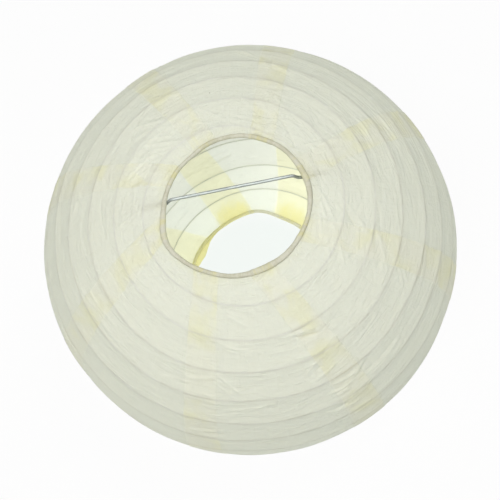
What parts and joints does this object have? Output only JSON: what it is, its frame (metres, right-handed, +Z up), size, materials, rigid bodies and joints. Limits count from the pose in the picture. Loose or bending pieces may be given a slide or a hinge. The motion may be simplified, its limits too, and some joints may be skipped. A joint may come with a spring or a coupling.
{
  "type": "accordion paper lantern",
  "caption": "Round folding paper lantern: pasted paper gores over a helical rib wire, open at both necks, held open by a bent wire expander with a straight hanging bar.",
  "frame": {"origin": "centre of the bottom rim, on the surface that the lantern stands on", "axes": "+Z up along the lantern's axis, from the bottom neck to the top neck; X along the expander's bar"},
  "size_m": [0.2991, 0.2991, 0.2453],
  "materials": {
    "paper": "matt, thin, lightly creased, with cream pasted laps",
    "hem_paper": "matt, pasted double, browned by the glue",
    "rib_wire": "dull drawn wire",
    "ring_wire": "dull drawn wire",
    "expander_wire": "galvanised, satin"
  },
  "bodies": {
    "globe": {"bottom_ring": "ring_wire", "bottom_hem": "hem_paper", "paper_gore_1": "paper", "paper_gore_2": "paper", "paper_gore_3": "paper", "paper_gore_4": "paper", "paper_gore_5": "paper", "paper_gore_6": "paper", "paper_gore_7": "paper", "paper_gore_8": "paper", "rib_helix": "rib_wire"},
    "top_collar": {"top_ring": "ring_wire", "top_hem": "hem_paper"},
    "expander": {"wire_expander": "expander_wire"}
  },
  "joints": [
    {"name": "collapse", "type": "slide", "parent": "globe", "child": "top_collar", "axis": [0, 0, -1], "range_m": [0, 0.224], "deforming": ["paper_gore_1", "paper_gore_2", "paper_gore_3", "paper_gore_4", "paper_gore_5", "paper_gore_6", "paper_gore_7", "paper_gore_8", "rib_helix"]},
    {"name": "expander_lift", "type": "slide", "parent": "globe", "child": "expander", "axis": [0, 0, 1], "range_m": [0, 0.25]}
  ]
}
